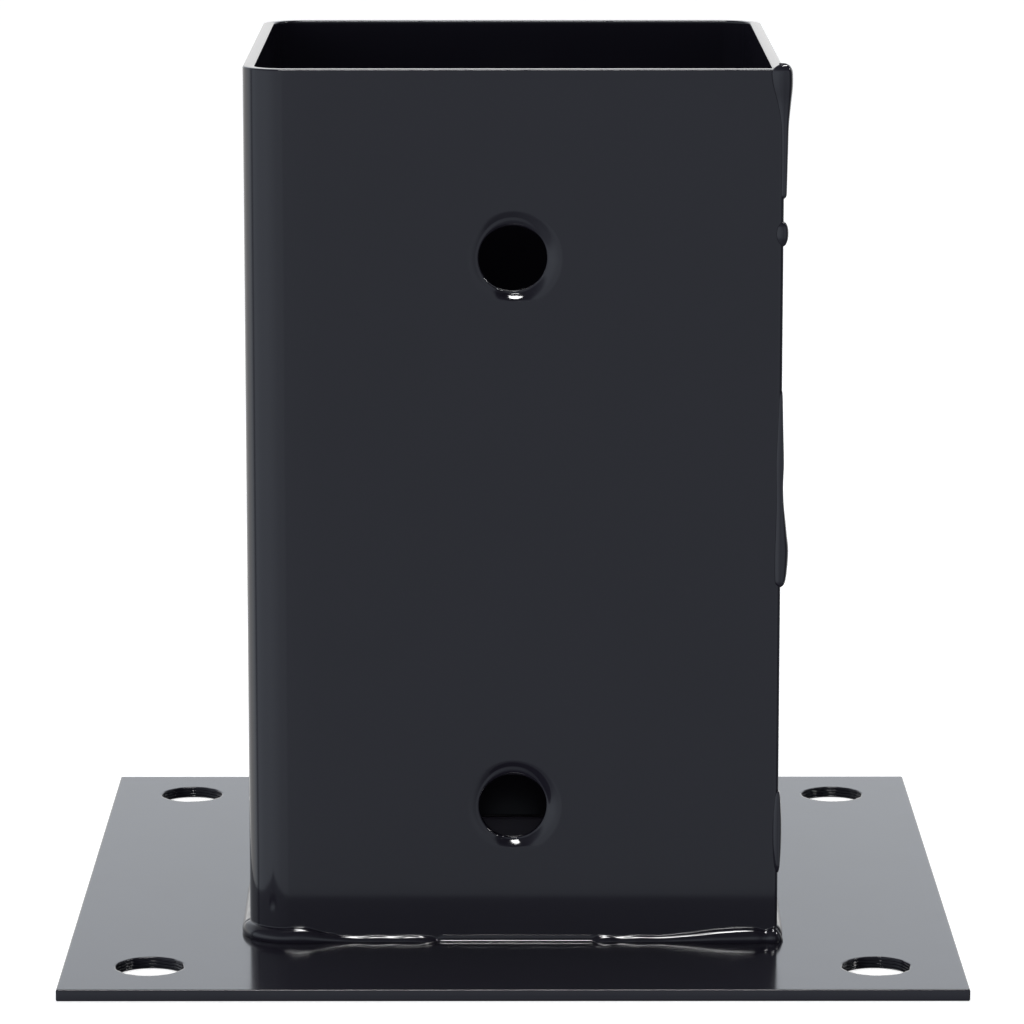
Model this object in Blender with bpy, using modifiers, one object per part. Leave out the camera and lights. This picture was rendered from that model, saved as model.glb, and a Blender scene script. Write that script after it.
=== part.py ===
"""Bolt-down post anchor: a folded square sleeve standing on a flat base plate.

The plate lies on the ground plane, centred on the Z axis. The sleeve is one strip of
sheet folded round three bends, so its fourth corner, at the front right, is an open
seam that is closed by runs of weld. More runs of weld join its foot to the plate.
The front faces -Y. All lengths are in metres.
"""

import math

import bmesh
import bpy

# Sheet metal
SHEET = 0.002
PLATE_SIDE = 0.150
SLEEVE_SIDE = 0.0896
RIM_HEIGHT = 0.150
BEND_RADIUS = 0.007
BEND_STEPS = 10

# Holes
PLATE_HOLE_DIAMETER = 0.0112
PLATE_HOLE_SPACING = 0.121
BOLT_HOLE_DIAMETER = 0.0115
BOLT_HOLE_HEIGHTS = (0.0255, 0.1187)
HOLE_SIDES = 48

# Clearances
JOINT_GAP = 0.0003
SEAM_GAP = 0.0005
CUTTER_REACH = 0.010

# Gloss black coating, over the sheet and over the weld metal
SHEET_COLOUR = (0.028, 0.028, 0.034)
SHEET_ROUGHNESS = 0.25
WELD_COLOUR = (0.022, 0.022, 0.027)
WELD_ROUGHNESS = 0.18

# Weld metal
FOOT_WELD_LIFT = 0.0008
FOOT_WELD_RADIUS = 0.0017
THIN_WELD_RADIUS = 0.0010
FOOT_WELD_STEP = 0.004
FOOT_WELD_BEND_STEPS = 7
FRONT_LEFT_WELD_END = -0.014
FRONT_RIGHT_WELD_START = 0.016
WELD_BREAK = 0.002
SEAM_WELD_INSET_X = 0.0003
SEAM_WELD_INSET_Y = 0.0006
WELD_END_TAPER = 0.65
BEAD_ROUNDNESS = 2
MERGE_DISTANCE = 0.00001

# Each seam weld: stations of height along the corner and bead radius there
SEAM_WELDS = {
    "seam_weld_top": (
        (0.1285, 0.0010), (0.1310, 0.0011), (0.1370, 0.0011), (0.1415, 0.0012),
        (0.1440, 0.0015), (0.1465, 0.0018), (0.1490, 0.0017), (0.1510, 0.0010),
    ),
    "seam_weld_spot": (
        (0.1206, 0.0010), (0.1216, 0.0013), (0.1228, 0.0014), (0.1240, 0.0012),
        (0.1248, 0.0010),
    ),
    "seam_weld_middle": (
        (0.0632, 0.0010), (0.0645, 0.0014), (0.0670, 0.0018), (0.0695, 0.0017),
        (0.0730, 0.0013), (0.0780, 0.0011), (0.0830, 0.0012), (0.0880, 0.0011),
        (0.0960, 0.0010),
    ),
    "seam_weld_lower": (
        (0.0140, 0.0010), (0.0165, 0.0012), (0.0210, 0.0013), (0.0260, 0.0012),
        (0.0282, 0.0010),
    ),
}

COLLECTION_NAME = "post_anchor"
CUTTER_COLLECTION_NAME = "post_anchor_cutters"

PLATE_TOP = SHEET
HALF_SLEEVE = SLEEVE_SIDE / 2
SLEEVE_FOOT = PLATE_TOP + JOINT_GAP
BEND_CENTRE = HALF_SLEEVE - BEND_RADIUS


def clear_scene():
    for obj in list(bpy.data.objects):
        bpy.data.objects.remove(obj)


def make_collection(name):
    collection = bpy.data.collections.new(name)
    bpy.context.scene.collection.children.link(collection)
    return collection


def make_material(name, colour, roughness):
    material = bpy.data.materials.new(name)
    material.use_nodes = True
    shader = material.node_tree.nodes["Principled BSDF"]
    shader.inputs["Base Color"].default_value = (*colour, 1.0)
    shader.inputs["Roughness"].default_value = roughness
    return material


def object_from_bmesh(name, bm, collection):
    mesh = bpy.data.meshes.new(name)
    bm.to_mesh(mesh)
    bm.free()
    obj = bpy.data.objects.new(name, mesh)
    collection.objects.link(obj)
    return obj


def give_material(obj, material):
    obj.data.materials.clear()
    obj.data.materials.append(material)


def make_box(name, size, centre, collection):
    bm = bmesh.new()
    bmesh.ops.create_cube(bm, size=1.0)
    bmesh.ops.scale(bm, vec=size, verts=bm.verts)
    obj = object_from_bmesh(name, bm, collection)
    obj.location = centre
    return obj


def make_cylinder(name, diameter, length, collection):
    bm = bmesh.new()
    bmesh.ops.create_cone(
        bm, cap_ends=True, segments=HOLE_SIDES,
        radius1=diameter / 2, radius2=diameter / 2, depth=length,
    )
    return object_from_bmesh(name, bm, collection)


def mark_cutter(obj):
    obj.hide_render = True
    obj.display_type = "WIRE"
    return obj


def cut(obj, cutter):
    modifier = obj.modifiers.new("cut_" + cutter.name, "BOOLEAN")
    modifier.operation = "DIFFERENCE"
    modifier.object = cutter


def arc(centre_x, centre_y, radius, start, end, steps):
    """Points on an arc, from the start angle to the end angle in radians."""
    points = []
    for step in range(steps + 1):
        angle = start + (end - start) * step / steps
        x = centre_x + radius * math.cos(angle)
        y = centre_y + radius * math.sin(angle)
        points.append((x, y))
    return points


def sleeve_bends(grow):
    """The three bends, from the back right round to the front left, grown outwards."""
    radius = BEND_RADIUS + grow
    quarter = math.pi / 2
    corners = (
        (BEND_CENTRE, BEND_CENTRE, 0.0),
        (-BEND_CENTRE, BEND_CENTRE, quarter),
        (-BEND_CENTRE, -BEND_CENTRE, 2 * quarter),
    )
    points = []
    for centre_x, centre_y, start in corners:
        points += arc(centre_x, centre_y, radius, start, start + quarter, BEND_STEPS)
    return points


def make_envelope_cutter(collection):
    """A solid block a joint gap larger than the sleeve, to trim the weld beads."""
    reach = HALF_SLEEVE + JOINT_GAP
    outline = sleeve_bends(JOINT_GAP) + [(reach, -reach)]
    bm = bmesh.new()
    corners = [bm.verts.new((x, y, -CUTTER_REACH)) for x, y in outline]
    floor = bm.faces.new(corners)
    raised = bmesh.ops.extrude_face_region(bm, geom=[floor])["geom"]
    raised_verts = [item for item in raised if isinstance(item, bmesh.types.BMVert)]
    rise = RIM_HEIGHT + JOINT_GAP + CUTTER_REACH
    bmesh.ops.translate(bm, vec=(0.0, 0.0, rise), verts=raised_verts)
    bmesh.ops.recalc_face_normals(bm, faces=bm.faces)
    return mark_cutter(object_from_bmesh("sleeve_envelope", bm, collection))


def make_plate_cutter(collection):
    """A slab a joint gap higher than the plate, to trim the foot welds."""
    depth = CUTTER_REACH
    centre_z = PLATE_TOP + JOINT_GAP - depth / 2
    size = (PLATE_SIDE, PLATE_SIDE, depth)
    return mark_cutter(make_box("plate_clearance", size, (0.0, 0.0, centre_z), collection))


def build_base_plate(collection, cutters, material):
    size = (PLATE_SIDE, PLATE_SIDE, SHEET)
    plate = make_box("base_plate", size, (0.0, 0.0, SHEET / 2), collection)
    give_material(plate, material)
    for side_x, end_x in (("left", -1), ("right", 1)):
        for side_y, end_y in (("front", -1), ("back", 1)):
            name = f"plate_hole_{side_y}_{side_x}"
            cutter = make_cylinder(name, PLATE_HOLE_DIAMETER, CUTTER_REACH, cutters)
            half_spacing = PLATE_HOLE_SPACING / 2
            cutter.location = (end_x * half_spacing, end_y * half_spacing, SHEET / 2)
            cut(plate, mark_cutter(cutter))
    return plate


def build_post_sleeve(collection, cutters, material):
    """The folded strip: its outer face swept up, thickened inwards, then drilled."""
    seam_start = -HALF_SLEEVE + SHEET + SEAM_GAP
    outline = [(HALF_SLEEVE, seam_start)] + sleeve_bends(0.0) + [(HALF_SLEEVE, -HALF_SLEEVE)]
    bm = bmesh.new()
    foot = [bm.verts.new((x, y, SLEEVE_FOOT)) for x, y in outline]
    edges = [bm.edges.new(pair) for pair in zip(foot, foot[1:])]
    raised = bmesh.ops.extrude_edge_only(bm, edges=edges)["geom"]
    raised_verts = [item for item in raised if isinstance(item, bmesh.types.BMVert)]
    bmesh.ops.translate(bm, vec=(0.0, 0.0, RIM_HEIGHT - SLEEVE_FOOT), verts=raised_verts)
    bmesh.ops.reverse_faces(bm, faces=bm.faces)
    sleeve = object_from_bmesh("post_sleeve", bm, collection)
    give_material(sleeve, material)

    thicken = sleeve.modifiers.new("sheet_thickness", "SOLIDIFY")
    thicken.thickness = SHEET
    thicken.offset = -1.0
    thicken.use_even_offset = True

    for level, height in zip(("lower", "upper"), BOLT_HOLE_HEIGHTS):
        length = SLEEVE_SIDE + CUTTER_REACH
        cutter = make_cylinder("bolt_hole_" + level, BOLT_HOLE_DIAMETER, length, cutters)
        cutter.rotation_euler = (math.pi / 2, 0.0, 0.0)
        cutter.location = (0.0, 0.0, height)
        cut(sleeve, mark_cutter(cutter))
    return sleeve


def make_bead(name, stations, collection, material):
    """A tube of weld through stations of (x, y, z, radius), as a closed mesh."""
    curve = bpy.data.curves.new(name + "_run", "CURVE")
    curve.dimensions = "3D"
    curve.bevel_depth = 1.0
    curve.bevel_resolution = BEAD_ROUNDNESS
    curve.use_fill_caps = True
    spline = curve.splines.new("POLY")
    spline.points.add(len(stations) - 1)
    for point, (x, y, z, radius) in zip(spline.points, stations):
        point.co = (x, y, z, 1.0)
        point.radius = radius
    run = bpy.data.objects.new(name + "_run", curve)
    collection.objects.link(run)
    bpy.context.view_layer.update()

    evaluated = run.evaluated_get(bpy.context.evaluated_depsgraph_get())
    mesh = bpy.data.meshes.new_from_object(evaluated)
    bm = bmesh.new()
    bm.from_mesh(mesh)
    bmesh.ops.remove_doubles(bm, verts=bm.verts, dist=MERGE_DISTANCE)
    bm.to_mesh(mesh)
    bm.free()

    bead = bpy.data.objects.new(name, mesh)
    bead.matrix_world = run.matrix_world
    collection.objects.link(bead)
    bpy.data.objects.remove(run)
    give_material(bead, material)
    return bead


def build_seam_welds(collection, envelope, material):
    """Runs of weld on the open front right corner, trimmed clear of the sheet."""
    x = HALF_SLEEVE - SEAM_WELD_INSET_X
    y = -HALF_SLEEVE + SEAM_WELD_INSET_Y
    for name, stations in SEAM_WELDS.items():
        tube = [(x, y, height, radius) for height, radius in stations]
        weld = make_bead(name, tube, collection, material)
        cut(weld, envelope)


def straight_run(start, end):
    """Points every few millimetres from one point to another, both included."""
    length = math.dist(start, end)
    steps = max(1, round(length / FOOT_WELD_STEP))
    points = []
    for step in range(steps + 1):
        share = step / steps
        x = start[0] + (end[0] - start[0]) * share
        y = start[1] + (end[1] - start[1]) * share
        points.append((x, y))
    return points


def foot_weld_routes():
    """Each foot weld's route along the sleeve's outer face, and its bead radius."""
    face = HALF_SLEEVE
    bend = BEND_CENTRE
    steps = FOOT_WELD_BEND_STEPS
    front_left_bend = arc(-bend, -bend, BEND_RADIUS, math.pi, 1.5 * math.pi, steps)
    back_left_bend = arc(-bend, bend, BEND_RADIUS, 0.5 * math.pi, math.pi, steps)
    back_right_bend = arc(bend, bend, BEND_RADIUS, 0.0, 0.5 * math.pi, steps)
    middle_start = FRONT_LEFT_WELD_END + WELD_BREAK
    middle_end = FRONT_RIGHT_WELD_START - WELD_BREAK
    return {
        "base_weld_front_left": (
            front_left_bend + straight_run((-bend, -face), (FRONT_LEFT_WELD_END, -face))[1:],
            FOOT_WELD_RADIUS,
        ),
        "base_weld_front_middle": (
            straight_run((middle_start, -face), (middle_end, -face)),
            THIN_WELD_RADIUS,
        ),
        "base_weld_front_right": (
            straight_run((FRONT_RIGHT_WELD_START, -face), (face, -face)),
            FOOT_WELD_RADIUS,
        ),
        "base_weld_right": (
            straight_run((face, -face + 2 * WELD_BREAK), (face, bend)),
            FOOT_WELD_RADIUS,
        ),
        "base_weld_back": (
            back_right_bend[1:] + straight_run((bend, face), (-bend, face))[1:-1]
            + back_left_bend[:-1],
            FOOT_WELD_RADIUS,
        ),
        "base_weld_left": (
            straight_run((-face, bend), (-face, -bend)),
            FOOT_WELD_RADIUS,
        ),
    }


def build_foot_welds(collection, envelope, plate_clearance, material):
    """Fillet beads in the angle between the sleeve's foot and the plate."""
    height = PLATE_TOP + FOOT_WELD_LIFT
    for name, (route, radius) in foot_weld_routes().items():
        end_radius = radius * WELD_END_TAPER
        radii = [end_radius] + [radius] * (len(route) - 2) + [end_radius]
        tube = [(x, y, height, bead) for (x, y), bead in zip(route, radii)]
        weld = make_bead(name, tube, collection, material)
        cut(weld, envelope)
        cut(weld, plate_clearance)


def main():
    clear_scene()
    parts = make_collection(COLLECTION_NAME)
    cutters = make_collection(CUTTER_COLLECTION_NAME)
    sheet_black = make_material("coated_sheet", SHEET_COLOUR, SHEET_ROUGHNESS)
    weld_black = make_material("coated_weld", WELD_COLOUR, WELD_ROUGHNESS)
    envelope = make_envelope_cutter(cutters)
    plate_clearance = make_plate_cutter(cutters)
    build_base_plate(parts, cutters, sheet_black)
    build_post_sleeve(parts, cutters, sheet_black)
    build_seam_welds(parts, envelope, weld_black)
    build_foot_welds(parts, envelope, plate_clearance, weld_black)


main()
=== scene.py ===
"""Visual model of a bolt-down post anchor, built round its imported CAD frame.

The sleeve is one strip of sheet, folded round three bends and left open at its front
right corner. It stands on a flat plate and runs of weld hold both. Everything carries
the same glossy black coating. The front faces -Y. All lengths are in metres.
"""

import math

import bmesh
import bpy
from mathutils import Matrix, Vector, noise


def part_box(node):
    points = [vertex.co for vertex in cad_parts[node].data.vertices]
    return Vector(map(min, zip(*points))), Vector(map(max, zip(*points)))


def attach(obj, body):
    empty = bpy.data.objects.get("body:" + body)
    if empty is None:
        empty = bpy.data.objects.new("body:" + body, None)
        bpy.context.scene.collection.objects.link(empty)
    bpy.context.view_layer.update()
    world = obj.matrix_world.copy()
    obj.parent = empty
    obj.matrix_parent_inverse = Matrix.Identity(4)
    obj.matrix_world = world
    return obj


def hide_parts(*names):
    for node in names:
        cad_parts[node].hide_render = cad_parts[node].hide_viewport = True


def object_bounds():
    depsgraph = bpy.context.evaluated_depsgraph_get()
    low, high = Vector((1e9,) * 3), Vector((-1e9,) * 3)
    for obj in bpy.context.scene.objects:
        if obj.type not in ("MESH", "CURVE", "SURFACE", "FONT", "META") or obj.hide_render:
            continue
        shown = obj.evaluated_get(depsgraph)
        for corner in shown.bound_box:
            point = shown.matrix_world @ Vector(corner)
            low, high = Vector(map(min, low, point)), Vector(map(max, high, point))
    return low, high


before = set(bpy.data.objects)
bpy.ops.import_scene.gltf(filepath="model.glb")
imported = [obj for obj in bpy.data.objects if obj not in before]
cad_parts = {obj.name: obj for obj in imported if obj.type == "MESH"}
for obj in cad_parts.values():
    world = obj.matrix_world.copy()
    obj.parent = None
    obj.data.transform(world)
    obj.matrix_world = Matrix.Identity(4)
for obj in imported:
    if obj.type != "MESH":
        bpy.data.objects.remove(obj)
cad_low, cad_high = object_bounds()

MM = 0.001

# The frame's own sizes
plate_low, plate_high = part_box("base_plate")
sleeve_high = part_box("post_sleeve")[1]
SHEET = plate_high.z - plate_low.z
PLATE_HALF = plate_high.x
PLATE_TOP = plate_high.z
HALF_SLEEVE = sleeve_high.x
RIM = sleeve_high.z

# Folded strip, as the CAD model has it
BEND_RADIUS = 7.0 * MM
SEAM_GAP = 0.5 * MM
BEND_CENTRE = HALF_SLEEVE - BEND_RADIUS
SEAM_START = -HALF_SLEEVE + SHEET + SEAM_GAP
BEND_LENGTH = BEND_RADIUS * math.pi / 2
BEND_LINES = 18
EDGE_RADIUS = 0.30 * MM
EDGE_STEPS = 4
EDGE_SUPPORT = 0.25 * MM
FLAT_STEP = 6.0 * MM

# Holes
BOLT_HOLE_HEIGHTS = (25.5 * MM, 118.7 * MM)
BOLT_PATCH_HALF = 11.0 * MM
PLATE_HOLE_RADIUS = 5.6 * MM
PLATE_HOLE_OFFSET = 60.5 * MM
PLATE_PATCH_HALF = 8.0 * MM
PATCH_STEPS = 20


# ---------------------------------------------------------------- materials

COATING_DARK = (0.0196, 0.0173, 0.0256)
COATING_LIGHT = (0.0212, 0.0187, 0.0276)
COATING_IOR = 1.5
# Noise scales, in cycles to the metre, and the stretch of the noise's range in use
DRIFT_SCALE = 35.0
HAZE_SCALE = 160.0
PEEL_SCALE = 650.0
NOISE_LOW = 0.30
NOISE_HIGH = 0.70


def new_material(name):
    material = bpy.data.materials.new(name)
    material.use_nodes = True
    return material, material.node_tree.nodes, material.node_tree.links


def noise_node(nodes, links, scale, detail, coordinates):
    texture = nodes.new("ShaderNodeTexNoise")
    texture.inputs["Scale"].default_value = scale
    texture.inputs["Detail"].default_value = detail
    links.new(coordinates, texture.inputs["Vector"])
    return texture


def ramp_node(nodes, stops):
    """A colour ramp through stops of (place, colour)."""
    ramp = nodes.new("ShaderNodeValToRGB")
    elements = ramp.color_ramp.elements
    while len(elements) > 1:
        elements.remove(elements[-1])
    elements[0].position = stops[0][0]
    elements[0].color = (*stops[0][1], 1.0)
    for place, colour in stops[1:]:
        elements.new(place).color = (*colour, 1.0)
    return ramp


def grey(value):
    return (value, value, value)


def coated_steel(name, roughness, peel_height):
    """Glossy black coating: faint colour drift, uneven gloss and orange peel."""
    material, nodes, links = new_material(name)
    shader = nodes["Principled BSDF"]
    shader.inputs["IOR"].default_value = COATING_IOR
    place = nodes.new("ShaderNodeTexCoord").outputs["Object"]

    drift = noise_node(nodes, links, DRIFT_SCALE, 3.0, place)
    tint = ramp_node(nodes, ((NOISE_LOW, COATING_DARK), (NOISE_HIGH, COATING_LIGHT)))
    links.new(drift.outputs["Fac"], tint.inputs["Fac"])
    links.new(tint.outputs["Color"], shader.inputs["Base Color"])

    haze = noise_node(nodes, links, HAZE_SCALE, 4.0, place)
    gloss = nodes.new("ShaderNodeMapRange")
    gloss.inputs["From Min"].default_value = NOISE_LOW
    gloss.inputs["From Max"].default_value = NOISE_HIGH
    gloss.inputs["To Min"].default_value = roughness[0]
    gloss.inputs["To Max"].default_value = roughness[1]
    links.new(haze.outputs["Fac"], gloss.inputs["Value"])
    links.new(gloss.outputs["Result"], shader.inputs["Roughness"])

    peel = noise_node(nodes, links, PEEL_SCALE, 1.0, place)
    bump = nodes.new("ShaderNodeBump")
    bump.inputs["Strength"].default_value = 1.0
    bump.inputs["Distance"].default_value = peel_height
    links.new(peel.outputs["Fac"], bump.inputs["Height"])
    links.new(bump.outputs["Normal"], shader.inputs["Normal"])
    return material


sleeve_coating = coated_steel("sleeve_coating", (0.085, 0.105), 0.0010 * MM)
plate_coating = coated_steel("plate_coating", (0.12, 0.15), 0.0005 * MM)
weld_coating = coated_steel("weld_coating", (0.07, 0.09), 0.0010 * MM)


# ---------------------------------------------------------------- mesh tools


def finish_piece(name, bm, material, replaced):
    bmesh.ops.recalc_face_normals(bm, faces=bm.faces)
    mesh = bpy.data.meshes.new(name)
    bm.to_mesh(mesh)
    bm.free()
    mesh.shade_smooth()
    mesh.materials.append(material)
    piece = bpy.data.objects.new(name, mesh)
    bpy.context.scene.collection.objects.link(piece)
    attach(piece, "root")
    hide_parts(*replaced)
    return piece


def spread(start, end, step):
    """Evenly spaced values from start up to, but not including, end."""
    count = max(1, math.ceil((end - start) / step - 1e-6))
    return [start + (end - start) * index / count for index in range(count)]


def lines_with_patches(start, end, centres, patch_half):
    """Grid lines over a flat stretch, finer across each hole's patch."""
    lines = []
    place = start
    for centre in centres:
        lines += spread(place, centre - patch_half, FLAT_STEP)
        lines += spread(centre - patch_half, centre + patch_half, 2 * patch_half / PATCH_STEPS)
        place = centre + patch_half
    lines += spread(place, end, FLAT_STEP)
    return lines


def near(lines, value):
    """Index of the grid line at a value."""
    return min(range(len(lines)), key=lambda index: abs(lines[index] - value))


def rect_loop(low_i, high_i, low_j, high_j):
    """Grid indices once round a rectangle, from its low corner."""
    loop = [(i, low_j) for i in range(low_i, high_i)]
    loop += [(high_i, j) for j in range(low_j, high_j)]
    loop += [(i, high_j) for i in range(high_i, low_i, -1)]
    loop += [(low_i, j) for j in range(high_j, low_j, -1)]
    return loop


def bridge(bm, first, second):
    """Faces between two closed loops of the same count. A repeated vertex makes a triangle."""
    count = len(first)
    for index in range(count):
        after = (index + 1) % count
        corners = [first[index], first[after], second[after], second[index]]
        distinct = list(dict.fromkeys(corners))
        if len(distinct) > 2:
            bm.faces.new(distinct)


def edge_entries(columns, rows):
    """Each boundary grid vertex with the direction its rounded edge leaves in."""
    entries = []
    last_i, last_j = columns - 1, rows - 1
    sides = (
        ([(i, 0) for i in range(columns)], -90),
        ([(last_i, j) for j in range(rows)], 0),
        ([(i, last_j) for i in range(last_i, -1, -1)], 90),
        ([(0, j) for j in range(last_j, -1, -1)], 180),
    )
    for cells, degrees in sides:
        direction = math.radians(degrees)
        entries += [(cell, direction) for cell in cells]
        for step in range(1, EDGE_STEPS):
            turned = direction + step * math.pi / 2 / EDGE_STEPS
            entries.append((cells[-1], turned))
    return entries


def edge_rings(thickness, radius):
    """(reach, depth) of each ring round a rounded sheet edge, outer face to inner."""
    outer = []
    for step in range(1, EDGE_STEPS + 1):
        angle = step * math.pi / 2 / EDGE_STEPS
        outer.append((radius * math.sin(angle), radius * (1 - math.cos(angle))))
    return outer + [(reach, thickness - depth) for reach, depth in reversed(outer)]


def make_sheet(columns, rows, holes, thickness, place):
    """A closed sheet over a grid, with rounded edges and round holes.

    Each hole is (u, v, patch half width, rings), and rings(angle) lists the (radius,
    depth) pairs that lead from the outer face through the hole to the inner face.
    """
    bm = bmesh.new()
    patches = []
    for u, v, half, rings in holes:
        low_i, high_i = near(columns, u - half), near(columns, u + half)
        low_j, high_j = near(rows, v - half), near(rows, v + half)
        patches.append((low_i, high_i, low_j, high_j))

    faces = []
    for depth in (0.0, thickness):
        grid = {}
        for i, u in enumerate(columns):
            for j, v in enumerate(rows):
                hidden = any(a < i < b and c < j < d for a, b, c, d in patches)
                if not hidden:
                    grid[i, j] = bm.verts.new(place(u, v, depth))
        for i in range(len(columns) - 1):
            for j in range(len(rows) - 1):
                if not any(a <= i < b and c <= j < d for a, b, c, d in patches):
                    corners = (grid[i, j], grid[i + 1, j], grid[i + 1, j + 1], grid[i, j + 1])
                    bm.faces.new(corners)
        faces.append(grid)
    outer, inner = faces

    for (u, v, half, rings), bounds in zip(holes, patches):
        loop = rect_loop(*bounds)
        profiles = []
        for index in range(len(loop)):
            angle = -0.75 * math.pi + 2 * math.pi * index / len(loop)
            around = []
            for radius, depth in rings(angle):
                at_u = u + radius * math.cos(angle)
                at_v = v + radius * math.sin(angle)
                around.append(bm.verts.new(place(at_u, at_v, depth)))
            profiles.append(around)
        previous = [outer[cell] for cell in loop]
        for ring in zip(*profiles):
            bridge(bm, previous, ring)
            previous = ring
        bridge(bm, previous, [inner[cell] for cell in loop])

    entries = edge_entries(len(columns), len(rows))
    previous = [outer[cell] for cell, direction in entries]
    for reach, depth in edge_rings(thickness, EDGE_RADIUS):
        ring = []
        for (i, j), direction in entries:
            at_u = columns[i] + reach * math.cos(direction)
            at_v = rows[j] + reach * math.sin(direction)
            ring.append(bm.verts.new(place(at_u, at_v, depth)))
        bridge(bm, previous, ring)
        previous = ring
    bridge(bm, previous, [inner[cell] for cell, direction in entries])
    return bm


# ---------------------------------------------------------------- post sleeve

SIDE_LENGTH = BEND_CENTRE - SEAM_START
BACK_START = SIDE_LENGTH + BEND_LENGTH
BACK_END = BACK_START + 2 * BEND_CENTRE
LEFT_START = BACK_END + BEND_LENGTH
LEFT_END = LEFT_START + 2 * BEND_CENTRE
FRONT_START = LEFT_END + BEND_LENGTH
STRIP_END = FRONT_START + BEND_CENTRE + HALF_SLEEVE

# Straight stretches: start and end along the strip, start in plan, heading, outward normal
STRAIGHTS = (
    (0.0, SIDE_LENGTH, (HALF_SLEEVE, SEAM_START), (0, 1), (1, 0)),
    (BACK_START, BACK_END, (BEND_CENTRE, HALF_SLEEVE), (-1, 0), (0, 1)),
    (LEFT_START, LEFT_END, (-HALF_SLEEVE, BEND_CENTRE), (0, -1), (-1, 0)),
    (FRONT_START, STRIP_END, (-BEND_CENTRE, -HALF_SLEEVE), (1, 0), (0, -1)),
)
# Bends: start along the strip, centre in plan, angle where the bend starts
BENDS = (
    (SIDE_LENGTH, (BEND_CENTRE, BEND_CENTRE), 0.0),
    (BACK_END, (-BEND_CENTRE, BEND_CENTRE), math.pi / 2),
    (LEFT_END, (-BEND_CENTRE, -BEND_CENTRE), math.pi),
)
BACK_HOLE = BACK_START + BEND_CENTRE
FRONT_HOLE = FRONT_START + BEND_CENTRE

# The strip's last edge, at the front right corner, was pressed back as it was cut
PRESSED_WIDTH = 0.40 * MM
PRESSED_DEPTH = 0.26 * MM
PRESSED_ROUND = 0.04 * MM
PRESSED_TIGHTNESS = 0.4
END_FLAT = 0.5 * MM


def strip_point(along):
    """Plan position and outward normal of the strip's outer face."""
    for start, (centre_x, centre_y), first_angle in BENDS:
        if start <= along <= start + BEND_LENGTH:
            angle = first_angle + (along - start) / BEND_RADIUS
            normal = Vector((math.cos(angle), math.sin(angle)))
            return Vector((centre_x, centre_y)) + BEND_RADIUS * normal, normal
    for start, end, corner, heading, normal in STRAIGHTS:
        first = start == 0.0 and along <= end
        last = end == STRIP_END and along >= start
        if first or last or start <= along <= end:
            return Vector(corner) + (along - start) * Vector(heading), Vector(normal)


def strip_place(along, height, depth):
    """A point of the strip. Its last edge is tight, and pressed back at the outer face."""
    if along > STRIP_END - EDGE_RADIUS:
        along = STRIP_END - (STRIP_END - along) * PRESSED_TIGHTNESS
    position, normal = strip_point(along)
    past = max(0.0, along - (STRIP_END - PRESSED_WIDTH)) / PRESSED_WIDTH
    pressed = PRESSED_DEPTH * past * (1 - depth / SHEET)
    x, y = position - (depth + pressed) * normal
    return (x, y, height)


# Bolt holes: the sheet dips round each one, most steeply under it, then rounds over into
# the hole, most broadly at its top. In millimetres, to the right, top, left and bottom:
# the hole's radius, the width of the rounding, of a flat ledge and of the dip, the dip's
# depth, and the shares of the dip over which its slope builds up and dies away.
LIP_SHAPE = (
    (5.70, 0.18, 0.02, 2.58, 0.95, 0.95, 0.02),
    (5.20, 1.20, 0.35, 1.30, 0.40, 0.45, 0.12),
    (5.68, 0.28, 0.10, 1.90, 0.24, 0.80, 0.10),
    (5.68, 0.14, 0.14, 1.30, 1.16, 0.34, 0.06),
)
# How tightly each direction's shape keeps to that side
LIP_FOCUS = (1, 2, 1, 16)
LIP_STEEPENING = 0.30
LIP_STEPS = 16
LIP_ROUND_STEPS = 6
LIP_MARGIN = 0.5 * MM
DIP_SLICES = 40
INNER_LIP = 0.08 * MM


def dip_share(share, rise, fall):
    """Depth reached in a dip whose slope builds up, creeps on, then dies away."""
    slope_sum, at_share = 0.0, 0.0
    for index in range(DIP_SLICES):
        place = (index + 0.5) / DIP_SLICES
        slope = min(1.0, place / rise, (1 - place) / fall) * (1 + LIP_STEEPENING * place)
        slope_sum += slope
        if place < share:
            at_share += slope * min(1.0, (share - index / DIP_SLICES) * DIP_SLICES)
    return at_share / slope_sum


def bolt_hole_rings(angle):
    """(radius, depth) of each ring, from the face down the dip and through the hole."""
    across, up = math.cos(angle), math.sin(angle)
    facing = (max(0, across), max(0, up), max(0, -across), max(0, -up))
    weights = [part ** (2 * focus) for part, focus in zip(facing, LIP_FOCUS)]
    total = sum(weights)
    shape = [sum(w * row[k] for w, row in zip(weights, LIP_SHAPE)) / total for k in range(7)]
    radius, rounding, ledge, reach, depth = [size * MM for size in shape[:5]]
    ledge_edge = radius + rounding
    dip_edge = ledge_edge + ledge
    rings = [(dip_edge + reach + LIP_MARGIN, 0.0)]
    for step in range(LIP_STEPS + 1):
        share = step / LIP_STEPS
        down = depth * dip_share(share, shape[5], shape[6])
        rings.append((dip_edge + reach * (1 - share), down))
    rings.append((ledge_edge, depth))
    drop = min(rounding, SHEET - depth - 4 * INNER_LIP)
    for step in range(1, LIP_ROUND_STEPS + 1):
        turn = math.pi / 2 * step / LIP_ROUND_STEPS
        rings.append((ledge_edge - rounding * math.sin(turn), depth + drop * (1 - math.cos(turn))))
    rings.append((radius, SHEET - 2.5 * INNER_LIP))
    rings.append((radius, SHEET - INNER_LIP))
    rings.append((radius + INNER_LIP, SHEET))
    rings.append((radius + 4 * INNER_LIP, SHEET))
    return rings


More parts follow.
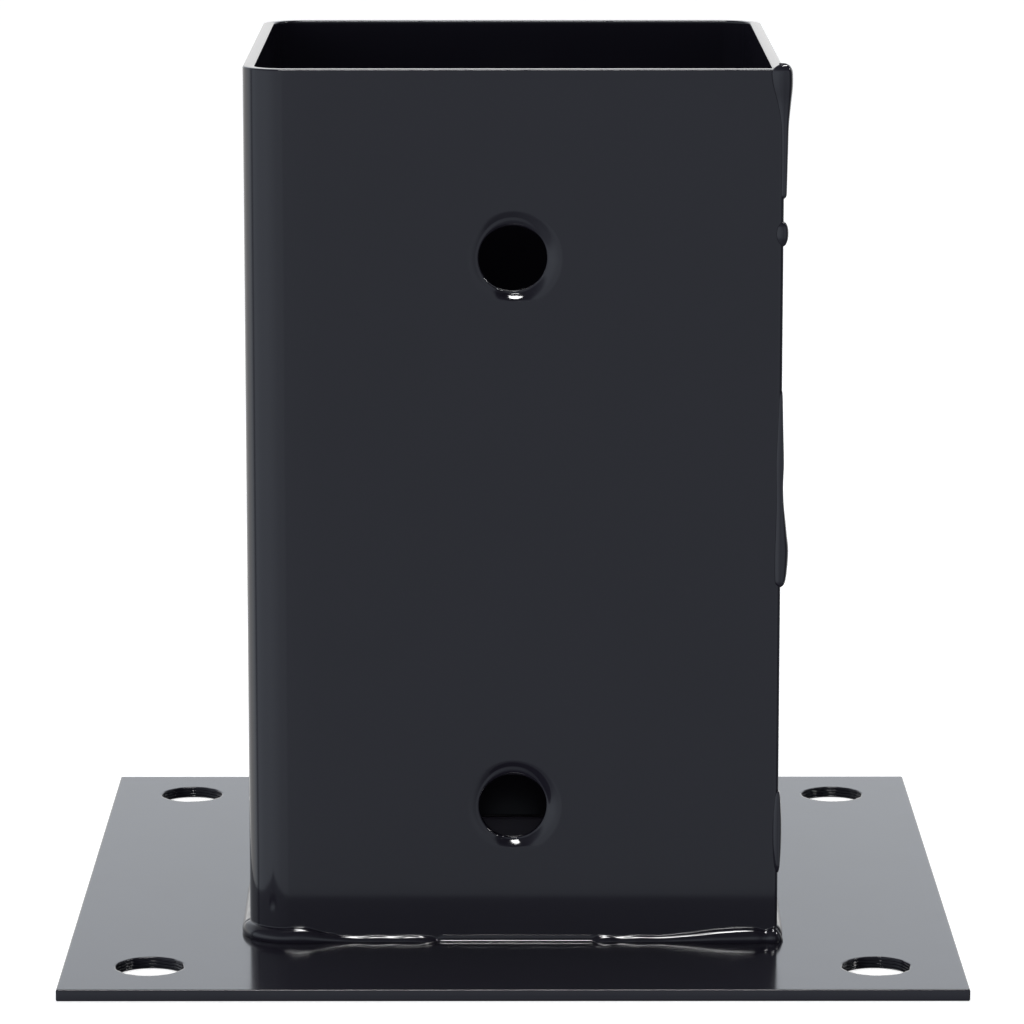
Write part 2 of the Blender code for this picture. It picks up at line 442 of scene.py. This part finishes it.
def build_sleeve():
    inset = EDGE_RADIUS
    support = inset + EDGE_SUPPORT
    columns = [inset, support]
    columns += spread(support + END_FLAT, SIDE_LENGTH, FLAT_STEP)
    bend_step = BEND_LENGTH / BEND_LINES
    columns += spread(SIDE_LENGTH, BACK_START, bend_step)
    columns += lines_with_patches(BACK_START, BACK_END, [BACK_HOLE], BOLT_PATCH_HALF)
    columns += spread(BACK_END, LEFT_START, bend_step)
    columns += spread(LEFT_START, LEFT_END, FLAT_STEP)
    columns += spread(LEFT_END, FRONT_START, bend_step)
    pressed = STRIP_END - PRESSED_WIDTH
    front_end = pressed - END_FLAT
    columns += lines_with_patches(FRONT_START, front_end, [FRONT_HOLE], BOLT_PATCH_HALF)
    columns += [front_end, pressed - PRESSED_ROUND, pressed + PRESSED_ROUND]
    columns += [STRIP_END - inset]

    foot, rim = PLATE_TOP, RIM
    rows = [foot + inset]
    rows += lines_with_patches(
        foot + support, rim - support, BOLT_HOLE_HEIGHTS, BOLT_PATCH_HALF
    )
    rows += [rim - support, rim - inset]

    holes = []
    for along in (BACK_HOLE, FRONT_HOLE):
        for height in BOLT_HOLE_HEIGHTS:
            holes.append((along, height, BOLT_PATCH_HALF, bolt_hole_rings))
    bm = make_sheet(columns, rows, holes, SHEET, strip_place)
    return finish_piece("sleeve_shell", bm, sleeve_coating, ["post_sleeve"])


# ---------------------------------------------------------------- base plate

# Ridges down each hole's wall, and how far they wander, as a share of their spacing
RIDGES = 3
RIDGE_HEIGHT = 0.28 * MM
RIDGE_WOBBLE = 0.3
PLATE_LIP = 0.22 * MM
WALL_STEPS = 21
RAGGED_EDGE = 0.26 * MM
RAGGED_SCALE = 3.0


def plate_place(x, y, depth):
    return (x, y, PLATE_TOP - depth)


def plate_hole_rings(seed):
    """Rings of one corner hole: a ragged lip and fine ridges down its wall."""

    def rings(angle):
        around = Vector((math.cos(angle), math.sin(angle), seed))
        ragged = RAGGED_EDGE * noise.noise(RAGGED_SCALE * around)
        found = [
            (PLATE_HOLE_RADIUS + 2.5 * PLATE_LIP, 0.0),
            (PLATE_HOLE_RADIUS + PLATE_LIP + ragged, 0.0),
            (PLATE_HOLE_RADIUS + PLATE_LIP * 0.3 + ragged, PLATE_LIP * 0.3),
        ]
        for step in range(WALL_STEPS + 1):
            share = step / WALL_STEPS
            depth = PLATE_LIP + (SHEET - 2 * PLATE_LIP) * share
            wobble = RIDGE_WOBBLE * noise.noise(2.0 * around + Vector((0.0, 0.0, 9.0)))
            wave = 0.5 - 0.5 * math.cos(2 * math.pi * (RIDGES * share + wobble))
            found.append((PLATE_HOLE_RADIUS + ragged * (1 - share) + RIDGE_HEIGHT * wave, depth))
        found.append((PLATE_HOLE_RADIUS + PLATE_LIP, SHEET))
        found.append((PLATE_HOLE_RADIUS + 2.5 * PLATE_LIP, SHEET))
        return found

    return rings


def build_plate():
    inset = EDGE_RADIUS
    support = inset + EDGE_SUPPORT
    reach = PLATE_HALF - support
    offsets = (-PLATE_HOLE_OFFSET, PLATE_HOLE_OFFSET)
    lines = [-PLATE_HALF + inset]
    lines += lines_with_patches(-reach, reach, offsets, PLATE_PATCH_HALF)
    lines += [reach, PLATE_HALF - inset]
    holes = []
    for x in offsets:
        for y in offsets:
            seed = 5.0 * len(holes)
            holes.append((x, y, PLATE_PATCH_HALF, plate_hole_rings(seed)))
    bm = make_sheet(lines, lines, holes, SHEET, plate_place)
    return finish_piece("plate_panel", bm, plate_coating, ["base_plate"])


# ---------------------------------------------------------------- weld beads

BEAD_STEP = 0.45 * MM


def smooth_value(stations, place):
    """Values at a place between stations of (place, value, ...), eased smoothly."""
    if place <= stations[0][0]:
        return list(stations[0][1:])
    for index in range(len(stations) - 1):
        start, end = stations[index], stations[index + 1]
        if place <= end[0]:
            before = stations[max(index - 1, 0)]
            after = stations[min(index + 2, len(stations) - 1)]
            gap = end[0] - start[0]
            share = (place - start[0]) / gap
            values = []
            for k in range(1, len(start)):
                slope_in = (end[k] - before[k]) / (end[0] - before[0]) * gap
                slope_out = (after[k] - start[k]) / (after[0] - start[0]) * gap
                square, cube = share ** 2, share ** 3
                value = (2 * cube - 3 * square + 1) * start[k]
                value += (cube - 2 * square + share) * slope_in
                value += (3 * square - 2 * cube) * end[k]
                value += (cube - square) * slope_out
                values.append(value)
            return values
    return list(stations[-1][1:])


def make_tube(rings):
    """A closed tube through rings of points, with a fan over each end."""
    bm = bmesh.new()
    loops = [[bm.verts.new(point) for point in ring] for ring in rings]
    for first, second in zip(loops, loops[1:]):
        bridge(bm, first, second)
    for loop in (loops[0], loops[-1]):
        middle = sum((vert.co for vert in loop), Vector()) / len(loop)
        centre = bm.verts.new(middle)
        for index in range(len(loop)):
            bm.faces.new((loop[index], loop[(index + 1) % len(loop)], centre))
    return bm


ROOT_DEPTH = 0.6 * MM
END_LENGTH = 1.6 * MM
END_SHARE = 0.02
RIPPLE = 0.035
RIPPLE_SCALE = 260.0
SECTION_STEPS = 5
# A bead's face as shares of its (width, height), down from the sleeve to the plate:
# a full crown that tucks under at its toe, and a hollow fillet
CROWN = (
    (0.0, 1.06), (0.05, 0.985), (0.28, 0.92), (0.62, 0.77),
    (0.89, 0.53), (1.0, 0.28), (0.96, 0.08), (0.80, -0.12),
)
HOLLOW = (
    (0.0, 1.06), (0.02, 0.80), (0.07, 0.57), (0.17, 0.37),
    (0.33, 0.20), (0.55, 0.09), (0.80, 0.03), (1.05, -0.04),
)


def curve_through(control, steps, closed):
    """Points on a smooth curve through control points in a plane."""
    count = len(control)
    points = []
    for index in range(count if closed else count - 1):
        if closed:
            picks = [(index + offset) % count for offset in (-1, 0, 1, 2)]
        else:
            picks = [min(max(index + offset, 0), count - 1) for offset in (-1, 0, 1, 2)]
        before, start, end, after = [Vector(control[pick]) for pick in picks]
        for step in range(steps):
            share = step / steps
            point = start + 0.5 * share * (end - before)
            point += share ** 2 * (before - 2.5 * start + 2 * end - 0.5 * after)
            point += share ** 3 * (-0.5 * before + 1.5 * start - 1.5 * end + 0.5 * after)
            points.append(point)
    if not closed:
        points.append(Vector(control[-1]))
    return points


CROWN_CURVE = curve_through(CROWN, SECTION_STEPS, closed=False)
HOLLOW_CURVE = curve_through(HOLLOW, SECTION_STEPS, closed=False)


def fillet_section(height, width, fullness):
    """(out, up) round a foot bead, closed inside the sheets. Fullness 0 is hollow."""
    section = []
    for crown, hollow in zip(CROWN_CURVE, HOLLOW_CURVE):
        out, up = hollow.lerp(crown, fullness)
        section.append((width * out, height * up))
    section.append((width * 0.7, -ROOT_DEPTH))
    section.append((-ROOT_DEPTH, -ROOT_DEPTH))
    section.append((-ROOT_DEPTH, height * 0.8))
    return section


def foot_bead(name, stations, seed, replaced):
    """A bead on the plate. Stations are (along the strip, height, width, fullness).

    The seed sets the bead's own ripple.
    """
    start, end = stations[0][0], stations[-1][0]
    count = math.ceil((end - start) / BEAD_STEP)
    rings = []
    for index in range(count + 1):
        along = start + (end - start) * index / count
        height, width, fullness = smooth_value(stations, along)
        ripple = 1 + RIPPLE * noise.noise(Vector((along * RIPPLE_SCALE, seed, 0.0)))
        near_end = min(along - start, end - along) / END_LENGTH
        dome = math.sqrt(max(END_SHARE, 1 - (1 - min(1.0, near_end)) ** 2))
        position, normal = strip_point(along)
        ring = []
        for out, up in fillet_section(height * dome * ripple, width * dome * ripple, fullness):
            x, y = position + out * normal
            ring.append((x, y, PLATE_TOP + up))
        rings.append(ring)
    bm = make_tube(rings)
    return finish_piece(name, bm, weld_coating, replaced)


def front_at(x):
    """Distance along the strip of a point on the front face, x millimetres from its middle."""
    return FRONT_START + BEND_CENTRE + x * MM


def sized(stations):
    """Stations whose heights and widths are given in millimetres."""
    return [(along, height * MM, width * MM, full) for along, height, width, full in stations]


def build_foot_beads():
    foot_bead(
        "foot_bead_front_left",
        sized([
            (LEFT_END - 0.5 * MM, 2.2, 1.35, 1.0),
            (LEFT_END + 5.0 * MM, 2.25, 1.45, 1.0),
            (front_at(-38.5), 2.3, 1.4, 1.0),
            (front_at(-36.6), 2.5, 1.45, 1.0),
            (front_at(-35.4), 2.45, 1.45, 1.0),
            (front_at(-34.0), 2.15, 1.35, 1.0),
            (front_at(-32.5), 1.75, 1.2, 1.0),
            (front_at(-30.5), 1.4, 1.0, 0.9),
            (front_at(-28.5), 1.08, 0.8, 0.8),
            (front_at(-26.5), 0.95, 0.75, 0.7),
            (front_at(-23.5), 1.1, 0.95, 0.8),
            (front_at(-20.5), 1.0, 0.8, 0.7),
            (front_at(-17.5), 1.15, 1.0, 0.8),
            (front_at(-14.5), 1.0, 0.85, 0.5),
            (front_at(-12.5), 1.0, 0.95, 0.1),
        ]),
        seed=1.0,
        replaced=["base_weld_front_left"],
    )
    foot_bead(
        "foot_bead_front_middle",
        sized([(front_at(-13.2), 1.03, 1.0, 0.0), (front_at(14.8), 1.03, 1.0, 0.0)]),
        seed=2.0,
        replaced=["base_weld_front_middle"],
    )
    foot_bead(
        "foot_bead_front_right",
        sized([
            (front_at(13.0), 1.0, 0.95, 0.1),
            (front_at(15.5), 1.12, 0.95, 0.7),
            (front_at(18.3), 0.95, 0.8, 0.6),
            (front_at(21.0), 1.12, 1.0, 0.8),
            (front_at(24.5), 1.05, 0.95, 0.8),
            (front_at(29.0), 1.45, 1.2, 0.9),
            (front_at(34.0), 2.05, 1.5, 1.0),
            (front_at(38.5), 2.4, 1.6, 1.0),
            (front_at(41.3), 2.35, 1.45, 1.0),
            (front_at(42.9), 1.95, 1.1, 1.0),
            (front_at(44.2), 2.45, 1.5, 1.0),
            (front_at(45.8), 2.0, 1.0, 1.0),
        ]),
        seed=3.0,
        replaced=["base_weld_front_right"],
    )
    foot_bead(
        "foot_bead_left",
        sized([
            (LEFT_START - 1.0 * MM, 1.7, 1.3, 1.0),
            (LEFT_START + 14.0 * MM, 2.2, 1.6, 1.0),
            (LEFT_START + 30.0 * MM, 1.8, 1.4, 1.0),
            (LEFT_START + 48.0 * MM, 2.3, 1.6, 1.0),
            (LEFT_START + 62.0 * MM, 1.9, 1.5, 1.0),
            (LEFT_END + 1.5 * MM, 2.2, 1.35, 1.0),
        ]),
        seed=4.0,
        replaced=["base_weld_left"],
    )
    foot_bead(
        "foot_bead_back",
        sized([
            (SIDE_LENGTH - 1.0 * MM, 1.9, 1.4, 1.0),
            (BACK_START + 6.0 * MM, 2.3, 1.6, 1.0),
            (BACK_START + 24.0 * MM, 1.7, 1.3, 1.0),
            (BACK_START + 40.0 * MM, 2.2, 1.5, 1.0),
            (BACK_START + 58.0 * MM, 1.8, 1.4, 1.0),
            (BACK_START + 72.0 * MM, 2.3, 1.6, 1.0),
            (LEFT_START + 0.5 * MM, 1.9, 1.4, 1.0),
        ]),
        seed=5.0,
        replaced=["base_weld_back"],
    )
    foot_bead(
        "foot_bead_right",
        sized([
            (-1.6 * MM, 2.2, 0.9, 1.0),
            (3.0 * MM, 2.3, 1.2, 1.0),
            (20.0 * MM, 1.8, 1.4, 1.0),
            (40.0 * MM, 2.3, 1.6, 1.0),
            (60.0 * MM, 1.8, 1.4, 1.0),
            (SIDE_LENGTH + 0.5 * MM, 2.1, 1.5, 1.0),
        ]),
        seed=6.0,
        replaced=["base_weld_right"],
    )


SEAM_STEP = BEAD_STEP * 0.6
SEAM_END_SHARE = 0.01
SEAM_ROOT = 0.9 * MM


def seam_section(left, proud, right, back):
    """Plan points round a seam bead, as distances right and forward of the open corner."""
    control = (
        (-left, -0.02 * MM),
        (-left * 0.55, proud * 0.8),
        (0.0, proud),
        (right * 0.72, proud * 0.78),
        (right, -back * 0.3),
        (right * 0.7, -back * 0.75),
        (0.0, -back),
        (-SEAM_ROOT, -back * 0.75),
        (-SEAM_ROOT, -0.8 * MM),
        (-left * 0.6, -0.7 * MM),
    )
    return curve_through(control, SECTION_STEPS, closed=True)


def seam_bead(name, stations, seed, replaced, cap):
    """A bead up the open corner. Stations are (height, left, proud, right, back).

    The cap is the length over which the bead rounds off at its foot and at its top. All
    are in millimetres. The seed sets the bead's own ripple.
    """
    stations = [tuple(size * MM for size in station) for station in stations]
    cap = [length * MM for length in cap]
    start, end = stations[0][0], stations[-1][0]
    count = math.ceil((end - start) / SEAM_STEP)
    rings = []
    for index in range(count + 1):
        height = start + (end - start) * index / count
        sizes = smooth_value(stations, height)
        ripple = 1 + RIPPLE * noise.noise(Vector((height * RIPPLE_SCALE, seed, 0.0)))
        near_end = min((height - start) / cap[0], (end - height) / cap[1])
        dome = math.sqrt(max(SEAM_END_SHARE, 1 - (1 - min(1.0, near_end)) ** 2))
        ring = []
        for u, v in seam_section(*[size * dome * ripple for size in sizes]):
            ring.append((HALF_SLEEVE + u, -HALF_SLEEVE - v, height))
        rings.append(ring)
    bm = make_tube(rings)
    return finish_piece(name, bm, weld_coating, replaced)


def build_seam_beads():
    seam_bead(
        "seam_bead_top",
        [
            (128.6, 0.5, 0.30, 0.50, 2.9),
            (132.0, 0.45, 0.30, 0.58, 3.0),
            (136.0, 0.45, 0.30, 0.65, 3.0),
            (141.0, 0.6, 0.35, 0.78, 3.1),
            (144.3, 1.2, 0.55, 1.1, 3.3),
            (147.0, 1.9, 0.85, 1.35, 3.5),
            (149.3, 2.25, 1.05, 1.35, 3.4),
            (151.0, 2.25, 1.10, 1.3, 3.0),
        ],
        seed=11.0,
        replaced=["seam_weld_top"],
        cap=(0.8, 1.8),
    )
    seam_bead(
        "seam_bead_spot",
        [
            (120.7, 0.9, 0.4, 0.7, 2.9),
            (122.8, 1.2, 0.55, 0.85, 3.1),
            (124.8, 0.9, 0.4, 0.7, 2.9),
        ],
        seed=12.0,
        replaced=["seam_weld_spot"],
        cap=(1.6, 1.4),
    )
    seam_bead(
        "seam_bead_middle",
        [
            (63.2, 0.9, 0.5, 0.7, 2.9),
            (65.5, 1.0, 0.55, 1.1, 3.1),
            (69.4, 1.0, 0.5, 1.33, 3.3),
            (72.5, 0.9, 0.45, 1.02, 3.2),
            (77.0, 0.8, 0.35, 0.52, 3.0),
            (80.0, 0.8, 0.3, 0.36, 2.9),
            (84.0, 0.9, 0.35, 0.48, 3.0),
            (90.0, 0.7, 0.3, 0.3, 2.9),
            (96.4, 0.4, 0.2, 0.1, 2.8),
        ],
        seed=13.0,
        replaced=["seam_weld_middle"],
        cap=(1.0, 1.5),
    )
    seam_bead(
        "seam_bead_lower",
        [
            (14.0, 0.5, 0.3, 0.3, 2.9),
            (18.0, 0.9, 0.4, 0.55, 3.0),
            (23.0, 0.9, 0.4, 0.6, 3.1),
            (28.2, 0.5, 0.3, 0.3, 2.9),
        ],
        seed=14.0,
        replaced=["seam_weld_lower"],
        cap=(1.5, 1.5),
    )


build_sleeve()
build_plate()
build_foot_beads()
build_seam_beads()


# ---------------------------------------------------------------- studio


# Places of a Mix node's colour sockets: its two colours, and its result
MIX_FIRST = 6
MIX_SECOND = 7
MIX_RESULT = 2


def math_node(nodes, links, operation, first, second=None):
    node = nodes.new("ShaderNodeMath")
    node.operation = operation
    links.new(first, node.inputs[0])
    if isinstance(second, float):
        node.inputs[1].default_value = second
    elif second is not None:
        links.new(second, node.inputs[1])
    return node.outputs[0]


def turn_stop(degrees):
    """Place on the all-round ramp of a heading: 0 is +Y, 90 is +X, -90 is -X."""
    return 0.5 + degrees / 360.0


def tilt_stop(degrees):
    """Place on the height ramp of an elevation."""
    return 0.5 + degrees / 180.0


# What the coating mirrors all round at eye level, by heading in degrees
ROUND_STOPS = (
    (-180, 0.475), (-176, 0.50), (-171, 0.63), (-157, 0.65), (-148, 0.72), (-139, 0.78),
    (-128, 0.83), (-100, 0.79), (-86, 0.80), (-82, 0.62), (-78, 0.20), (-74, 0.64),
    (-69, 0.97), (-60, 0.97), (-48, 0.82), (-32, 0.82), (-22, 1.15), (-6, 1.20),
    (6, 1.25), (20, 1.22), (34, 1.0), (50, 0.70), (66, 0.15), (78, 0.08), (84, 0.45),
    (96, 0.45), (102, 0.06), (138, 0.12), (152, 0.40), (166, 0.55), (176, 0.49), (180, 0.475),
)
# And how that changes with elevation: in front, and behind, where the light is bluer
# once it comes from above eye level. The third list says where the room counts as behind.
WHITE = (1.0, 1.0, 1.0)
COOL = (0.953, 1.0, 1.066)
COOLER = (0.90, 1.0, 1.10)
FRONT_STOPS = (
    (-90, 0.15), (-62, 0.28), (-45, 0.34), (-28, 0.45), (-21, 0.80), (-15, 0.96),
    (-10, 1.0), (-6, 1.04), (0, 1.0), (10, 1.0), (17, 1.0), (27, 0.36), (40, 0.16),
    (90, 0.05),
)
BACK_STOPS = (
    (-90, 0.80, WHITE), (-30, 0.85, WHITE), (-5, 1.0, WHITE), (8, 1.0, WHITE),
    (13, 1.0, COOL), (30, 1.0, COOL), (42, 0.4, COOL), (60, 0.14, COOL), (90, 0.06, COOL),
)
BEHIND_STOPS = ((-180, 0), (-80, 0), (-50, 1), (50, 1), (80, 0), (180, 0))
# What the camera sees past the floor's edge, and how much the floor glows by itself
PAPER_STRENGTH = 1.05
FLOOR_GLOW = 0.75
FLOOR_HALF = 6.0
FLOOR_GAP = 0.05 * MM
LAMP_AIM = Vector((0.0, 0.0, 0.075))
CAMERA_LENS = 184.42
CAMERA_PLACE = (-0.00136, -0.90556, 0.23701)
CAMERA_DIP = 0.1849
CAMERA_TURN = -0.00143


def tinted(value, tint):
    return tuple(value * part for part in tint)


def build_world():
    """White paper to the camera, and a soft studio to everything else."""
    world = bpy.data.worlds.new("studio")
    bpy.context.scene.world = world
    world.use_nodes = True
    nodes, links = world.node_tree.nodes, world.node_tree.links
    nodes.clear()
    coordinates = nodes.new("ShaderNodeTexCoord")
    split = nodes.new("ShaderNodeSeparateXYZ")
    links.new(coordinates.outputs["Generated"], split.inputs[0])

    heading = math_node(nodes, links, "ARCTAN2", split.outputs["X"], split.outputs["Y"])
    turn = math_node(nodes, links, "DIVIDE", heading, 2 * math.pi)
    turn = math_node(nodes, links, "ADD", turn, 0.5)
    rise = math_node(nodes, links, "ARCSINE", split.outputs["Z"])
    tilt = math_node(nodes, links, "DIVIDE", rise, math.pi)
    tilt = math_node(nodes, links, "ADD", tilt, 0.5)

    around = ramp_node(nodes, [(turn_stop(d), grey(v)) for d, v in ROUND_STOPS])
    links.new(turn, around.inputs["Fac"])
    front = ramp_node(nodes, [(tilt_stop(d), tinted(v, COOLER)) for d, v in FRONT_STOPS])
    links.new(tilt, front.inputs["Fac"])
    back = ramp_node(nodes, [(tilt_stop(d), tinted(v, tint)) for d, v, tint in BACK_STOPS])
    links.new(tilt, back.inputs["Fac"])
    behind = ramp_node(nodes, [(turn_stop(d), grey(v)) for d, v in BEHIND_STOPS])
    links.new(turn, behind.inputs["Fac"])

    fade = nodes.new("ShaderNodeMix")
    fade.data_type = "RGBA"
    links.new(behind.outputs["Color"], fade.inputs[0])
    links.new(front.outputs["Color"], fade.inputs[MIX_FIRST])
    links.new(back.outputs["Color"], fade.inputs[MIX_SECOND])
    lit = nodes.new("ShaderNodeMix")
    lit.data_type = "RGBA"
    lit.blend_type = "MULTIPLY"
    lit.inputs[0].default_value = 1.0
    links.new(around.outputs["Color"], lit.inputs[MIX_FIRST])
    links.new(fade.outputs[MIX_RESULT], lit.inputs[MIX_SECOND])

    studio = nodes.new("ShaderNodeBackground")
    links.new(lit.outputs[MIX_RESULT], studio.inputs["Color"])
    paper = nodes.new("ShaderNodeBackground")
    paper.inputs["Color"].default_value = (*WHITE, 1.0)
    paper.inputs["Strength"].default_value = PAPER_STRENGTH
    seen = nodes.new("ShaderNodeLightPath")
    choice = nodes.new("ShaderNodeMixShader")
    links.new(seen.outputs["Is Camera Ray"], choice.inputs[0])
    links.new(studio.outputs[0], choice.inputs[1])
    links.new(paper.outputs[0], choice.inputs[2])
    output = nodes.new("ShaderNodeOutputWorld")
    links.new(choice.outputs[0], output.inputs["Surface"])


def build_floor():
    """A pale floor that is lit almost to white, with a faint contact shadow.

    Only the camera sees it, because its light would wash out the coating.
    """
    bm = bmesh.new()
    bmesh.ops.create_grid(bm, x_segments=1, y_segments=1, size=FLOOR_HALF)
    mesh = bpy.data.meshes.new("floor")
    bm.to_mesh(mesh)
    bm.free()
    floor = bpy.data.objects.new("floor", mesh)
    bpy.context.scene.collection.objects.link(floor)
    floor.location.z = cad_low.z - FLOOR_GAP
    material, nodes, links = new_material("pale_floor")
    shader = nodes["Principled BSDF"]
    shader.inputs["Base Color"].default_value = (0.9, 0.9, 0.9, 1.0)
    shader.inputs["Roughness"].default_value = 1.0
    shader.inputs["Specular IOR Level"].default_value = 0.0
    shader.inputs["Emission Color"].default_value = (*WHITE, 1.0)
    shader.inputs["Emission Strength"].default_value = FLOOR_GLOW
    floor.data.materials.append(material)
    floor.visible_glossy = False
    floor.visible_diffuse = False


def add_lamp(name, location, size_x, size_y, radiance, roll=0.0):
    """An oval soft box facing the middle of the sleeve, rolled by an angle in degrees."""
    data = bpy.data.lights.new(name, "AREA")
    data.shape = "ELLIPSE"
    data.size = size_x
    data.size_y = size_y
    area = math.pi / 4 * size_x * size_y
    data.energy = radiance * math.pi * area
    lamp = bpy.data.objects.new(name, data)
    bpy.context.scene.collection.objects.link(lamp)
    lamp.location = location
    aim = LAMP_AIM - Vector(location)
    lamp.rotation_euler = aim.to_track_quat("-Z", "Y").to_euler()
    lamp.rotation_euler.rotate_axis("Z", math.radians(roll))
    return lamp


def build_lamps():
    """Two lamps show only as highlights in the gloss. The other two only light it."""
    glint = add_lamp("lamp_glint", (0.0, -0.14, 1.5), 0.72, 0.22, 34.0, roll=32)
    right = add_lamp("lamp_right", (1.1, -0.25, 0.85), 0.22, 0.22, 34.0)
    for lamp in (glint, right):
        lamp.visible_diffuse = False
    glow = add_lamp("lamp_glow", (0.0, 0.0, 1.5), 0.50, 0.50, 10.0)
    front = add_lamp("lamp_front", (-0.25, -1.6, 0.10), 0.60, 0.20, 14.0)
    for lamp in (glow, front):
        lamp.visible_glossy = False
    front.visible_camera = False


def build_camera():
    data = bpy.data.cameras.new("camera")
    data.lens = CAMERA_LENS
    data.sensor_width = 36.0
    data.clip_start = 0.01
    data.clip_end = 20.0
    camera = bpy.data.objects.new("camera", data)
    bpy.context.scene.collection.objects.link(camera)
    camera.location = CAMERA_PLACE
    camera.rotation_euler = (math.pi / 2 - CAMERA_DIP, 0.0, CAMERA_TURN)
    bpy.context.scene.camera = camera


build_world()
build_floor()
build_lamps()
build_camera()
bpy.context.scene.view_settings.view_transform = "Standard"
